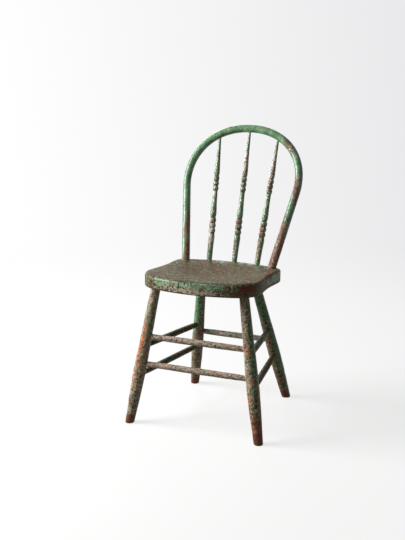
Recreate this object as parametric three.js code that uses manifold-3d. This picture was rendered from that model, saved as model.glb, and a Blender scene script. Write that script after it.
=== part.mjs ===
// A bow-back side chair with a plank seat, turned legs and box stretchers.
// Millimetres, +Z up. The chair faces -Y. Left and right are as seen from in front.
// Each turned piece is drawn along its own +Y axis and then laid between its two ends.
import * as THREE from 'three';
import { mergeVertices } from 'three/addons/utils/BufferGeometryUtils.js';
import Module from 'manifold-3d';

const wasm = await Module();
wasm.setup();

const { degToRad } = THREE.MathUtils;

// Overall sizes
const overallHeight = 860;
const seatHeight = 455.5; // the seat's rim over the floor, at the middle of its depth
const seatFall = degToRad(2.4); // the seat falls towards the back
const seatForward = 29; // the seat's middle stands this far in front of the middle of the feet

// Fits: glued and driven joints keep this gap all round
const fitGap = 0.3;

// Plank seat
const seatDepth = 356;
const seatFrontWidth = 364;
const seatBackWidth = 341;
const sideWaist = 5; // each side draws in this much between its corners
const seatThickness = 41;
const frontEdgeRadius = 364;
const backEdgeRadius = 276;
const frontCornerRadius = 74;
const backCornerRadius = 34;
const seatTopRound = 8;
const seatBottomRound = 5;
const seatCup = 5; // the whole top is hollowed this much from side to side
const saddleDepth = 8; // and the sitting place this much more
const saddleWidth = 310;
const saddleLength = 280;

// Bent bow of the back
const bowDiameter = 24.5;
const bowEndDiameter = 19; // where it comes out under the seat
const bowLean = degToRad(24.7); // the bow's plane from upright
const bowFromSide = 28.5;
const bowFromBack = 29;
const bowArchHalfWidth = 184.5;
const bowArchRise = 170.8; // from the bow's widest place to its top
const bowSquareness = 2.13; // 2 is an ellipse; more gives the arch fuller shoulders

// Turned back spindles
const spindleSpacing = 80; // at the seat
const spindleTopSpacing = 97.5; // at the bow
const spindleFromBack = 13.8;
const spindleFootDiameter = 16.4;
const spindleTenonLength = 20;
const spindleTipDiameter = 8;
const spindleTipPast = 4; // the tip ends this far past the bow's centre line

// The turning's set-out: three beads at each place, given as a share of the length up to the bow
const beadCount = 3;
const beadFullness = 0.8; // 1 is a sine wave; less gives rounder crests and tighter grooves
const lowerBeads = { at: 0.283, pitch: 16.7, crest: 21.6, groove: 16 };
const upperBeads = { at: 0.627, pitch: 15.5, crest: 18.6, groove: 13.6 };
const spindleCalf = { diameter: 18.2, at: 0.45 }; // a share of the way up to the lower beads
const spindleBulb = { diameter: 20, clear: 10 }; // its distance below the lower beads
const spindleVase = { diameter: 19.6, clear: 14 }; // its distance above the lower beads
const spindleWaist = { diameter: 16, at: 0.56 }; // a share of the way between the bead groups
const spindleShoulder = { diameter: 17.6, clear: 14 }; // its distance above the upper beads
const spindleTaper = { diameter: 12.6, at: 0.5 }; // a share of the way on to the bow

// Turned legs
const frontFeetSpread = 413;
const rearFeetSpread = 322;
const feetDepth = 386;
const frontSocket = { fromSide: 44, fromEdge: 69 };
const rearSocket = { fromSide: 84, fromEdge: 66 };
const legFootDiameter = 27;
const legSwellDiameter = 37.4;
const legSwellAt = 165;
const legTopDiameter = 27.8;
const legAnkle = { fullness: 0.56, at: 0.45 }; // shares of the growth and height up to the swell
const legThigh = { fullness: 0.5, at: 0.48 }; // and the same from the swell up to the seat
const legTenonDiameter = 23.5;
const legTenonLength = 24;
const footRound = 2.5;

// Box stretchers: heights of their two ends over the floor, on the axes of the legs.
// The front and the rear run level. The side ones were bored by eye, each a little different.
const frontUpperHeight = 267;
const frontLowerHeight = 184;
const leftUpperHeights = { front: 238, rear: 229.5 };
const leftLowerHeights = { front: 149, rear: 146.5 };
const rightUpperHeights = { front: 251.5, rear: 235.5 };
const rightLowerHeights = { front: 156, rear: 153 };
const rearUpperHeight = 204;
const stretcherDiameter = 19;
const stretcherEndDiameter = 16.4;
const stretcherTenonLength = 13;
const stretcherFlank = { fullness: 0.8, at: 0.45 }; // shares of the swelling and of the half length

// Wedges under the seat, and brads through the bow into the spindle tips
const wedgeLength = 22;
const wedgeThick = 3.6;
const wedgeThin = 1;
const wedgeWidth = 16;
const bradDiameter = 2;
const bradHeadDiameter = 4;
const bradHeadThickness = 1;
const bradLength = 17;

// How finely the forms are divided
const turnedSides = 16;
const rodSides = 12;
const bradSides = 10;
const cupSides = 24;
const bowSides = 14;
const collarSides = 28;
const bowSteps = 38;
const edgeSteps = 3;
const cornerSteps = 5;
const sideSteps = 5;
const stepsPerBead = 4;
const bulbSteps = 5;
const vaseSteps = 6;
const taperSteps = 7;
const legSteps = 9;
const stretcherSteps = 6;
const topRings = [0.2, 0.4, 0.6, 0.78, 0.92]; // shares of the way from the seat's middle to its edge

const paint = (color, roughness) => new THREE.MeshStandardMaterial({ color, roughness, metalness: 0 });
const finishes = {
  seat: () => paint(0x6b5d50, 0.6),
  bow: () => paint(0x4f7f55, 0.4),
  spindle: () => paint(0x66835f, 0.45),
  leg: () => paint(0x7a7466, 0.6),
  stretcher: () => paint(0x857b70, 0.6),
  wedge: () => paint(0x8a6a45, 0.8),
  brad: () => new THREE.MeshStandardMaterial({ color: 0x4a3a30, roughness: 0.7, metalness: 0.8 }),
};

const chair = new THREE.Group();

function pieceOf(name, geometry, finish, parent = chair) {
  const mesh = new THREE.Mesh(geometry, finishes[finish]());
  mesh.name = name;
  parent.add(mesh);
  return mesh;
}

// Lays an object so that its own +Y axis runs from one point towards another.
function layBetween(object, from, to) {
  const direction = to.clone().sub(from).normalize();
  object.position.copy(from);
  object.quaternion.setFromUnitVectors(new THREE.Vector3(0, 1, 0), direction);
  object.updateMatrixWorld(true);
  return object;
}

function solidOf(geometry) {
  const bare = geometry.clone();
  bare.deleteAttribute('normal');
  bare.deleteAttribute('uv');
  const merged = mergeVertices(bare, 1e-3);
  const vertProperties = new Float32Array(merged.attributes.position.array);
  const triVerts = new Uint32Array(merged.index.array);
  return new wasm.Manifold(new wasm.Mesh({ numProp: 3, vertProperties, triVerts }));
}

function geometryOf(solid) {
  const { vertProperties, triVerts } = solid.getMesh();
  const geometry = new THREE.BufferGeometry();
  geometry.setAttribute('position', new THREE.BufferAttribute(vertProperties, 3));
  geometry.setIndex(new THREE.BufferAttribute(triVerts, 1));
  geometry.computeVertexNormals();
  return geometry;
}

// Cuts, joins or trims a placed mesh with other placed meshes, in the mesh's own frame.
function shapeWith(mesh, tools, operation) {
  mesh.updateWorldMatrix(true, false);
  const toOwnFrame = mesh.matrixWorld.clone().invert();
  let solid = solidOf(mesh.geometry);
  for (const tool of tools) {
    tool.updateWorldMatrix(true, false);
    const placed = tool.geometry.clone().applyMatrix4(tool.matrixWorld).applyMatrix4(toOwnFrame);
    solid = solid[operation](solidOf(placed));
  }
  mesh.geometry = geometryOf(solid);
}

// A round form: its profile holds [radius, height] pairs, and is closed on the axis.
function turned(profile, sides = turnedSides) {
  const points = profile.map(([radius, height]) => new THREE.Vector2(radius, height));
  return new THREE.LatheGeometry(points, sides);
}

function smooth(knots, divisions) {
  const curve = new THREE.SplineCurve(knots.map(([radius, height]) => new THREE.Vector2(radius, height)));
  return curve.getPoints(divisions).map(({ x, y }) => [x, y]);
}

function rod(radius, start, end, sides = rodSides) {
  return turned([[0, start], [radius, start], [radius, end], [0, end]], sides);
}

// Seat

const frontEdge = -seatDepth / 2;
const backEdge = seatDepth / 2;
const edgeLineAt = (radius, x) => radius - Math.sqrt(radius * radius - x * x);
const backEdgeAt = (x) => backEdge - edgeLineAt(backEdgeRadius, x);

// The top's height over the rim plane: hollowed from side to side, and more where one sits.
function seatTopAt(x, y) {
  const across = x / (seatFrontWidth / 2);
  const saddle = Math.max(0, 1 - (2 * x / saddleWidth) ** 2 - (2 * y / saddleLength) ** 2);
  return -seatCup * Math.max(0, 1 - across * across) - saddleDepth * saddle * saddle;
}

// Centre of the corner arc that meets a straight side and a wide end arc without a kink.
function cornerCentre(radius, endRadius, endSign) {
  const sideFront = new THREE.Vector2(seatFrontWidth / 2, frontEdge);
  const sideBack = new THREE.Vector2(seatBackWidth / 2, backEdge);
  const along = sideBack.clone().sub(sideFront).normalize();
  const inward = new THREE.Vector2(-along.y, along.x);
  const start = sideFront.clone().addScaledVector(inward, radius);
  const endCentre = new THREE.Vector2(0, endSign * (seatDepth / 2 - endRadius));
  const offset = start.clone().sub(endCentre);
  const half = offset.dot(along);
  const reach = Math.sqrt(half * half - offset.lengthSq() + (endRadius - radius) ** 2);
  return { centre: start.addScaledVector(along, endSign * reach - half), endCentre, inward };
}

// The right side from the front corner to the back one, drawn in most halfway along.
function sideLine(front, back) {
  const start = front.centre.clone().addScaledVector(front.inward, -frontCornerRadius);
  const end = back.centre.clone().addScaledVector(back.inward, -backCornerRadius);
  const points = [];
  for (let i = 1; i < sideSteps; i++) {
    const share = i / sideSteps;
    const drawn = sideWaist * Math.sin(share * Math.PI) ** 2;
    points.push(start.clone().lerp(end, share).addScaledVector(front.inward, drawn));
  }
  return points;
}

function seatOutline() {
  const front = cornerCentre(frontCornerRadius, frontEdgeRadius, -1);
  const back = cornerCentre(backCornerRadius, backEdgeRadius, 1);
  const angleFrom = (a, b) => Math.atan2(b.y - a.y, b.x - a.x);
  const sideAngle = Math.atan2(-front.inward.y, -front.inward.x);
  const frontJoin = angleFrom(front.endCentre, front.centre);
  const backJoin = angleFrom(back.endCentre, back.centre);
  const side = sideLine(front, back);
  const outline = new THREE.Path();
  outline.absarc(0, front.endCentre.y, frontEdgeRadius, -Math.PI - frontJoin, frontJoin);
  outline.absarc(front.centre.x, front.centre.y, frontCornerRadius, frontJoin, sideAngle);
  for (const { x, y } of side) outline.lineTo(x, y);
  outline.absarc(back.centre.x, back.centre.y, backCornerRadius, sideAngle, backJoin);
  outline.absarc(0, back.endCentre.y, backEdgeRadius, backJoin, Math.PI - backJoin);
  const leftSide = Math.PI - sideAngle;
  outline.absarc(-back.centre.x, back.centre.y, backCornerRadius, Math.PI - backJoin, leftSide);
  for (const { x, y } of side.reverse()) outline.lineTo(-x, y);
  outline.absarc(-front.centre.x, front.centre.y, frontCornerRadius, leftSide, Math.PI - frontJoin);
  const points = outline.getPoints(cornerSteps);
  return points.filter((point, i) => point.distanceTo(points[(i + 1) % points.length]) > fitGap);
}

// The plank as rings from the middle of the top, over the rounded edge, to the middle underneath.
function plank() {
  const outline = seatOutline();
  const count = outline.length;
  const outward = outline.map((point, i) => {
    const before = outline[(i + count - 1) % count];
    const after = outline[(i + 1) % count];
    return new THREE.Vector2(after.y - before.y, before.x - after.x).normalize();
  });
  const rings = [];
  const addRing = (inset, share, heightAt) => {
    rings.push(outline.map((point, i) => {
      const x = (point.x - outward[i].x * inset) * share;
      const y = (point.y - outward[i].y * inset) * share;
      return [x, y, heightAt(x, y)];
    }));
  };
  for (const share of topRings) addRing(seatTopRound, share, seatTopAt);
  for (let i = 0; i <= edgeSteps; i++) {
    const turn = (i / edgeSteps) * Math.PI / 2;
    const drop = seatTopRound * (1 - Math.cos(turn));
    addRing(seatTopRound * (1 - Math.sin(turn)), 1, (x, y) => seatTopAt(x, y) - drop);
  }
  for (let i = 0; i <= edgeSteps; i++) {
    const turn = (i / edgeSteps) * Math.PI / 2;
    const rise = seatBottomRound * (1 - Math.sin(turn));
    addRing(seatBottomRound * (1 - Math.cos(turn)), 1, () => rise - seatThickness);
  }
  const positions = [0, 0, seatTopAt(0, 0), ...rings.flat(2), 0, 0, -seatThickness];
  const last = 1 + rings.length * count;
  const faces = [];
  for (let i = 0; i < count; i++) {
    const next = (i + 1) % count;
    faces.push(0, 1 + i, 1 + next);
    faces.push(last, last - count + next, last - count + i);
    for (let ring = 0; ring < rings.length - 1; ring++) {
      const inner = 1 + ring * count;
      const outer = inner + count;
      faces.push(inner + i, outer + i, outer + next, inner + i, outer + next, inner + next);
    }
  }
  const geometry = new THREE.BufferGeometry();
  geometry.setAttribute('position', new THREE.Float32BufferAttribute(positions, 3));
  geometry.setIndex(faces);
  geometry.computeVertexNormals();
  return geometry;
}

const seatFrame = new THREE.Group();
seatFrame.position.set(0, -seatForward, seatHeight);
seatFrame.rotation.x = -seatFall;
chair.add(seatFrame);
seatFrame.updateWorldMatrix(true, false);
const seat = pieceOf('seat', plank(), 'seat', seatFrame);
const onSeat = (x, y, z = seatTopAt(x, y)) => seatFrame.localToWorld(new THREE.Vector3(x, y, z));

// Bow: a straight rise from each foot, tangent to one arch

const bowRadius = bowDiameter / 2;
const bowFootX = seatBackWidth / 2 - bowFromSide;
const bowFootY = backEdgeAt(bowFootX) - bowFromBack;
const bowFoot = onSeat(bowFootX, bowFootY);
const bowFrame = new THREE.Group();
bowFrame.position.set(0, bowFoot.y, bowFoot.z);
bowFrame.rotation.x = Math.PI / 2 - bowLean;
chair.add(bowFrame);
bowFrame.updateWorldMatrix(true, false);

const bowTop = (overallHeight - bowRadius - bowFoot.z) / Math.cos(bowLean);
const bowWidestAt = bowTop - bowArchRise;
const bowHeightAt = (x) => bowWidestAt
  + bowArchRise * (1 - Math.abs(x / bowArchHalfWidth) ** bowSquareness) ** (1 / bowSquareness);
const bowPoint = (x, up, forward = 0) => bowFrame.localToWorld(new THREE.Vector3(x, up, forward));

class BowLine extends THREE.Curve {
  constructor(below) {
    super();
    const across = bowFootX / bowArchHalfWidth;
    const down = -bowWidestAt / bowArchRise;
    this.join = Math.atan2(down, across) + Math.acos(1 / Math.hypot(across, down));
    this.arch = (turn) => {
      const power = turn > 0 ? 2 / bowSquareness : 1;
      const out = bowArchHalfWidth * Math.cos(turn) ** power;
      const up = bowArchRise * Math.sign(turn) * Math.abs(Math.sin(turn)) ** power;
      return new THREE.Vector3(out, bowWidestAt + up, 0);
    };
    this.foot = new THREE.Vector3(bowFootX, 0, 0);
    this.rise = this.arch(this.join).sub(this.foot).normalize();
    this.end = this.foot.clone().addScaledVector(this.rise, -below);
    this.straightShare = 0.25; // of the steps from a foot to the top
  }

  getPoint(t, target = new THREE.Vector3()) {
    const side = t < 0.5 ? -1 : 1;
    const up = 1 - Math.abs(2 * t - 1);
    if (up < this.straightShare) {
      target.lerpVectors(this.end, this.arch(this.join), up / this.straightShare);
    } else {
      const share = (up - this.straightShare) / (1 - this.straightShare);
      target.copy(this.arch(THREE.MathUtils.lerp(this.join, Math.PI / 2, share)));
    }
    target.x *= side;
    return target;
  }
}

const section = new THREE.Shape().absarc(0, 0, bowRadius, 0, 2 * Math.PI);
const bowStart = 6; // the full round ends this far inside the seat
const bowLine = new BowLine(bowStart);
const bowGeometry = new THREE.ExtrudeGeometry(section, {
  steps: bowSteps,
  curveSegments: bowSides / 2,
  extrudePath: bowLine,
});
const bow = pieceOf('back_bow', bowGeometry, 'bow', bowFrame);

// Each end goes on as a taper through the seat and is cut flush underneath.
const bowReach = (seatThickness + seatCup) / Math.cos(bowLean + seatFall) / bowLine.rise.y + bowDiameter;
const bowTaperAt = (depth) => THREE.MathUtils.lerp(bowDiameter, bowEndDiameter, depth / bowReach) / 2;

function bowEnd(side, gap) {
  const start = bowStart / 2;
  const mesh = new THREE.Mesh(turned([
    [0, start],
    [bowTaperAt(start) + gap, start],
    [bowTaperAt(bowReach) + gap, bowReach],
    [0, bowReach],
  ], bowSides));
  const foot = bowPoint(side * bowFootX, 0);
  const below = bowPoint(side * (bowFootX - bowLine.rise.x), -bowLine.rise.y);
  return layBetween(mesh, foot, below);
}

// The full round at the top of the mortise, so that the bow's own end has room there.
function bowCollar(side) {
  const radius = (bowRadius + fitGap) / Math.cos(Math.PI / collarSides);
  const mesh = new THREE.Mesh(rod(radius, -bowDiameter, bowStart + fitGap, collarSides));
  const foot = bowPoint(side * bowFootX, 0);
  const below = bowPoint(side * (bowFootX - bowLine.rise.x), -bowLine.rise.y);
  return layBetween(mesh, foot, below);
}

const sides = [['left', -1], ['right', 1]];
shapeWith(bow, sides.map(([, side]) => bowEnd(side, 0)), 'add');
for (const [, side] of sides) {
  shapeWith(seat, [bowEnd(side, fitGap), bowCollar(side)], 'subtract');
}

// All that lies under the seat's lower face, to trim the bow's ends and their wedges flush.
function belowSeat() {
  const height = 4 * seatThickness;
  const mesh = new THREE.Mesh(new THREE.BoxGeometry(2 * seatFrontWidth, 2 * seatDepth, height));
  mesh.position.z = -seatThickness - height / 2;
  seatFrame.add(mesh);
  mesh.updateWorldMatrix(true, false);
  seatFrame.remove(mesh);
  mesh.matrixWorld.clone().decompose(mesh.position, mesh.quaternion, mesh.scale);
  return mesh;
}

shapeWith(bow, [belowSeat()], 'subtract');

// Wedges in the sawn ends of the bow

const seatCut = seatThickness + seatTopAt(bowFootX, bowFootY);
const wedgeDepth = seatCut / Math.cos(bowLean + seatFall) / bowLine.rise.y;

function wedgeForm(gap) {
  const tip = wedgeDepth - wedgeLength - gap;
  const end = wedgeDepth + bowRadius;
  const grow = (wedgeThick - wedgeThin) / wedgeLength;
  const halfAt = (depth) => (wedgeThin + grow * (depth - wedgeDepth + wedgeLength)) / 2 + gap;
  const outline = new THREE.Shape([
    new THREE.Vector2(-halfAt(tip), tip),
    new THREE.Vector2(halfAt(tip), tip),
    new THREE.Vector2(halfAt(end), end),
    new THREE.Vector2(-halfAt(end), end),
  ]);
  const width = gap > 0 ? 2 * bowDiameter : wedgeWidth;
  const geometry = new THREE.ExtrudeGeometry(outline, { depth: width, bevelEnabled: false });
  return geometry.translate(0, 0, -width / 2);
}

// The wedge's width lies in the bow's plane, across the grain of the seat.
function layWedge(mesh, side) {
  const down = new THREE.Vector3(-side * bowLine.rise.x, -bowLine.rise.y, 0);
  const across = new THREE.Vector3(-down.y, down.x, 0);
  const thin = new THREE.Vector3().crossVectors(down, across);
  mesh.quaternion.setFromRotationMatrix(new THREE.Matrix4().makeBasis(thin, down, across));
  mesh.position.set(side * bowFootX, 0, 0);
  bowFrame.add(mesh);
  mesh.updateWorldMatrix(true, false);
}

for (const [word, side] of sides) {
  const kerf = new THREE.Mesh(wedgeForm(fitGap));
  layWedge(kerf, side);
  shapeWith(bow, [kerf], 'subtract');
  bowFrame.remove(kerf);
  const wedge = pieceOf('bow_wedge_' + word, wedgeForm(0), 'wedge', bowFrame);
  layWedge(wedge, side);
  shapeWith(wedge, [belowSeat()], 'subtract');
}

// Spindles

function beads(group, centre) {
  const points = [];
  for (let i = 0; i <= beadCount * stepsPerBead; i++) {
    const swell = Math.abs(Math.sin(Math.PI * i / stepsPerBead)) ** beadFullness;
    const radius = THREE.MathUtils.lerp(group.groove, group.crest, swell) / 2;
    points.push([radius, centre + (i / stepsPerBead - beadCount / 2) * group.pitch]);
  }
  return points;
}

// The same turning for all three, set out from the seat; only the tip's length differs.
function spindleProfile(length, setOutLength) {
  const lower = lowerBeads.at * setOutLength;
  const upper = upperBeads.at * setOutLength;
  const lowerStart = lower - (beadCount / 2) * lowerBeads.pitch;
  const lowerEnd = lower + (beadCount / 2) * lowerBeads.pitch;
  const upperStart = upper - (beadCount / 2) * upperBeads.pitch;
  const upperEnd = upper + (beadCount / 2) * upperBeads.pitch;
  const foot = spindleFootDiameter / 2;
  const tip = spindleTipDiameter / 2;
  const bowSurface = length - bowRadius;
  const bulb = smooth([
    [foot, 0],
    [spindleCalf.diameter / 2, spindleCalf.at * lower],
    [spindleBulb.diameter / 2, lowerStart - spindleBulb.clear],
    [lowerBeads.groove / 2, lowerStart],
  ], bulbSteps);
  const vase = smooth([
    [lowerBeads.groove / 2, lowerEnd],
    [spindleVase.diameter / 2, lowerEnd + spindleVase.clear],
    [spindleWaist.diameter / 2, THREE.MathUtils.lerp(lowerEnd, upperStart, spindleWaist.at)],
    [upperBeads.groove / 2, upperStart],
  ], vaseSteps);
  const taper = smooth([
    [upperBeads.groove / 2, upperEnd],
    [spindleShoulder.diameter / 2, upperEnd + spindleShoulder.clear],
    [spindleTaper.diameter / 2, THREE.MathUtils.lerp(upperEnd, bowSurface, spindleTaper.at)],
    [tip, bowSurface],
  ], taperSteps);
  return [
    [0, -spindleTenonLength],
    [foot - 1, -spindleTenonLength],
    ...bulb,
    ...beads(lowerBeads, lower).slice(1, -1),
    ...vase,
    ...beads(upperBeads, upper).slice(1, -1),
    ...taper,
    [tip, length + spindleTipPast],
    [0, length + spindleTipPast],
  ];
}

const spindleEnds = (column) => {
  const x = column * spindleSpacing;
  const topX = column * spindleTopSpacing;
  return { from: onSeat(x, backEdgeAt(x) - spindleFromBack), to: bowPoint(topX, bowHeightAt(topX)) };
};
const sideSpindle = spindleEnds(1);
const setOutLength = sideSpindle.from.distanceTo(sideSpindle.to) - bowRadius;

const bradSeat = -bowRadius + bradHeadThickness;

// A brad, drawn from its head at the back of the bow towards the front.
function bradForm(gap) {
  const shank = bradDiameter / 2 + gap;
  const head = bradHeadDiameter / 2 + gap;
  const back = gap > 0 ? -bowDiameter : -bowRadius + fitGap;
  return turned([
    [0, back],
    [head, back],
    [head, bradSeat + gap],
    [shank, bradSeat + gap],
    [shank, bradSeat + bradLength + gap],
    [0, bradSeat + bradLength + gap],
  ], bradSides);
}

for (const [word, column] of [['left', -1], ['centre', 0], ['right', 1]]) {
  const { from, to } = spindleEnds(column);
  const length = from.distanceTo(to);
  const form = turned(spindleProfile(length, setOutLength), rodSides);
  const spindle = pieceOf('spindle_' + word, form, 'spindle');
  layBetween(spindle, from, to);

  const foot = spindleFootDiameter / 2 + fitGap;
  const socketEnd = -spindleTenonLength - fitGap;
  const socket = new THREE.Mesh(turned([
    [0, socketEnd], [foot - 1, socketEnd], [foot, 0], [foot, seatThickness], [0, seatThickness],
  ], rodSides));
  shapeWith(seat, [layBetween(socket, from, to)], 'subtract');

  const tipHole = new THREE.Mesh(rod(spindleTipDiameter / 2 + fitGap, length - bowDiameter,
    length + spindleTipPast + fitGap));
  shapeWith(bow, [layBetween(tipHole, from, to)], 'subtract');

  const topX = column * spindleTopSpacing;
  const bradFrom = bowPoint(topX, bowHeightAt(topX));
  const bradTo = bowPoint(topX, bowHeightAt(topX), 1);
  const bradHole = layBetween(new THREE.Mesh(bradForm(fitGap)), bradFrom, bradTo);
  shapeWith(bow, [bradHole], 'subtract');
  shapeWith(spindle, [bradHole], 'subtract');
  layBetween(pieceOf('brad_' + word, bradForm(0), 'brad'), bradFrom, bradTo);
}

// Legs

const legs = {};
const legRows = [
  ['front', -1, frontFeetSpread, seatFrontWidth, frontSocket],
  ['rear', 1, rearFeetSpread, seatBackWidth, rearSocket],
];

const swell = [legFootDiameter, legSwellDiameter, legTopDiameter].map((diameter) => diameter / 2);

function legKnots(length) {
  const [foot, full, top] = swell;
  const upper = length - legSwellAt;
  return [
    [foot, 0],
    [THREE.MathUtils.lerp(foot, full, legAnkle.fullness), legAnkle.at * legSwellAt],
    [full, legSwellAt],
    [THREE.MathUtils.lerp(full, top, legThigh.fullness), legSwellAt + legThigh.at * upper],
    [top, length],
  ];
}

// The floor, as a wide cup whose small round edge wears the rim of a foot.
function floorCup(foot) {
  const radius = legFootDiameter / 2;
  const profile = [[0, 0]];
  for (let i = 0; i <= edgeSteps; i++) {
    const turn = (i / edgeSteps) * Math.PI / 2;
    profile.push([radius - footRound * (1 - Math.sin(turn)), footRound * (1 - Math.cos(turn))]);
  }
  profile.push([radius + seatHeight, footRound + seatHeight], [0, footRound + seatHeight]);
  const cup = new THREE.Mesh(turned(profile, cupSides));
  return layBetween(cup, foot, foot.clone().setZ(1));
}

for (const [row, end, spread, width, socket] of legRows) {
  for (const [word, side] of sides) {
    const foot = new THREE.Vector3(side * spread / 2, end * feetDepth / 2, 0);
    const topX = side * (width / 2 - socket.fromSide);
    const topY = end * (seatDepth / 2 - socket.fromEdge);
    const top = onSeat(topX, topY, -seatThickness);
    const length = foot.distanceTo(top);
    const below = -legFootDiameter / 2;
    const knots = legKnots(length);
    const tenon = length + legTenonLength;
    const profile = [[0, below], [swell[0], below], ...smooth(knots, legSteps),
      [legTenonDiameter / 2, tenon], [0, tenon]];
    const leg = pieceOf('leg_' + row + '_' + word, turned(profile), 'leg');
    layBetween(leg, foot, top);
    shapeWith(leg, [floorCup(foot)], 'intersect');

    const hole = new THREE.Mesh(turned([
      [0, length - seatThickness],
      [swell[2] + fitGap, length - seatThickness],
      [swell[2] + fitGap, length],
      [legTenonDiameter / 2 + fitGap, tenon + fitGap],
      [0, tenon + fitGap],
    ]));
    shapeWith(seat, [layBetween(hole, foot, top)], 'subtract');
    legs[row + word] = { mesh: leg, foot, top, form: smooth(knots, length) };
  }
}

// The point of a leg's axis at a height over the floor, and the leg's radius there.
function legAt(leg, height) {
  const share = height / leg.top.z;
  const point = leg.foot.clone().lerp(leg.top, share);
  const along = leg.foot.distanceTo(point);
  const [radius] = leg.form.find(([, reached]) => reached >= along);
  return { point, radius };
}

// Stretchers

const stretchers = [
  ['front_upper', 'frontleft', 'frontright', frontUpperHeight, frontUpperHeight],
  ['front_lower', 'frontleft', 'frontright', frontLowerHeight, frontLowerHeight],
  ['left_upper', 'frontleft', 'rearleft', leftUpperHeights.front, leftUpperHeights.rear],
  ['left_lower', 'frontleft', 'rearleft', leftLowerHeights.front, leftLowerHeights.rear],
  ['right_upper', 'frontright', 'rearright', rightUpperHeights.front, rightUpperHeights.rear],
  ['right_lower', 'frontright', 'rearright', rightLowerHeights.front, rightLowerHeights.rear],
  ['rear_upper', 'rearleft', 'rearright', rearUpperHeight, rearUpperHeight],
];

for (const [name, startLeg, endLeg, startHeight, endHeight] of stretchers) {
  const start = legAt(legs[startLeg], startHeight);
  const end = legAt(legs[endLeg], endHeight);
  const length = start.point.distanceTo(end.point);
  const radius = stretcherDiameter / 2;
  const endRadius = stretcherEndDiameter / 2;
  const flank = THREE.MathUtils.lerp(endRadius, radius, stretcherFlank.fullness);
  const from = start.radius - stretcherTenonLength;
  const to = length - end.radius + stretcherTenonLength;
  const body = smooth([
    [endRadius, start.radius],
    [flank, THREE.MathUtils.lerp(start.radius, length / 2, stretcherFlank.at)],
    [radius, length / 2],
    [flank, THREE.MathUtils.lerp(length - end.radius, length / 2, stretcherFlank.at)],
    [endRadius, length - end.radius],
  ], stretcherSteps);
  const profile = [[0, from], [endRadius, from], ...body, [endRadius, to], [0, to]];
  const stretcher = pieceOf('stretcher_' + name, turned(profile, rodSides), 'stretcher');
  layBetween(stretcher, start.point, end.point);
  const room = endRadius + fitGap;
  const bores = [
    [startLeg, rod(room, from - fitGap, start.radius + radius)],
    [endLeg, rod(room, length - end.radius - radius, to + fitGap)],
  ];
  for (const [leg, bore] of bores) {
    shapeWith(legs[leg].mesh, [layBetween(new THREE.Mesh(bore), start.point, end.point)], 'subtract');
  }
}

// The origin lies on the floor, under the middle of the whole chair.
const box = new THREE.Box3().setFromObject(chair, true);
chair.position.set(-(box.min.x + box.max.x) / 2, -(box.min.y + box.max.y) / 2, -box.min.z);
chair.updateMatrixWorld(true);

export default chair;
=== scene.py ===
"""An old bow-back side chair in green paint that has worn and peeled."""

import math

import bpy
from mathutils import Matrix, Vector, noise


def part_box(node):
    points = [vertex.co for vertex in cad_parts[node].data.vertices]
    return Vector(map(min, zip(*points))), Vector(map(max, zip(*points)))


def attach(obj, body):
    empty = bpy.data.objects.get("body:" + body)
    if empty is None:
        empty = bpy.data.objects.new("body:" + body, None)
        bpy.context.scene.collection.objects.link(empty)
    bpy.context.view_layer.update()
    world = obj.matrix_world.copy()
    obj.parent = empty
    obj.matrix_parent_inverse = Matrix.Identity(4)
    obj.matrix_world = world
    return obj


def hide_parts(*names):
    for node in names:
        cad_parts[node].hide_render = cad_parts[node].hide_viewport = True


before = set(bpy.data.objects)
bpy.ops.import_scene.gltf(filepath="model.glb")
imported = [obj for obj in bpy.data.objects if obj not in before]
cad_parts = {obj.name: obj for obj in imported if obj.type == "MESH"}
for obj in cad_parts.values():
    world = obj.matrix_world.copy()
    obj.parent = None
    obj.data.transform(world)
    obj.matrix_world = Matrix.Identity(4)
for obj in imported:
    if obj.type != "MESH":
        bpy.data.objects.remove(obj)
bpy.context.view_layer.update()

# The view. The chair is seen from in front and a little to its right, from the
# eye height of someone sitting, with a lens a little longer than a normal one.

MM = 0.001
FEET_MIDDLE = -33.91  # mm in Y: the middle between the front and the rear feet


def at(x, y, z):
    """A place in metres from millimetres, with y measured from the middle of the feet."""
    return Vector((x, y + FEET_MIDDLE, z)) * MM


view_turn = math.radians(23.27)  # round to the right of straight in front
view_drop = math.radians(13.89)  # and looking down
view_distance = 2.8725           # in metres
looked_at = at(-46.7, 0, 442.1)
to_camera = Vector((math.sin(view_turn) * math.cos(view_drop),
                    -math.cos(view_turn) * math.cos(view_drop),
                    math.sin(view_drop)))
bpy.ops.object.select_all(action="DESELECT")
bpy.ops.object.camera_add(location=looked_at + to_camera * view_distance,
                          rotation=(math.pi / 2 - view_drop, 0, view_turn))
camera = bpy.context.object
camera.data.sensor_width = 36
camera.data.lens = 63.3
camera.data.shift_x = -0.00197
camera.data.shift_y = 0.00126
bpy.context.scene.camera = camera


# The room: a white floor that runs into a pale wall, with a large window on the
# left. The floor fades out well behind the chair, where the wall takes over.

def linear(hex_colour):
    """The linear colour of an sRGB hex value."""
    parts = [int(hex_colour[i:i + 2], 16) / 255 for i in (1, 3, 5)]
    return [p / 12.92 if p <= 0.04045 else ((p + 0.055) / 1.055) ** 2.4 for p in parts] + [1]


def add(tree, kind, settings=None, sockets=None):
    """Adds a node with its settings. A socket gets a value, or a link from another socket."""
    node = tree.nodes.new(kind)
    for name, value in (settings or {}).items():
        setattr(node, name, value)
    for name, value in (sockets or {}).items():
        if isinstance(value, bpy.types.NodeSocket):
            tree.links.new(value, node.inputs[name])
        else:
            node.inputs[name].default_value = value
    return node


def new_tree(name):
    """An empty material and its node tree."""
    material = bpy.data.materials.new(name)
    material.use_nodes = True
    material.node_tree.nodes.clear()
    return material, material.node_tree


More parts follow.
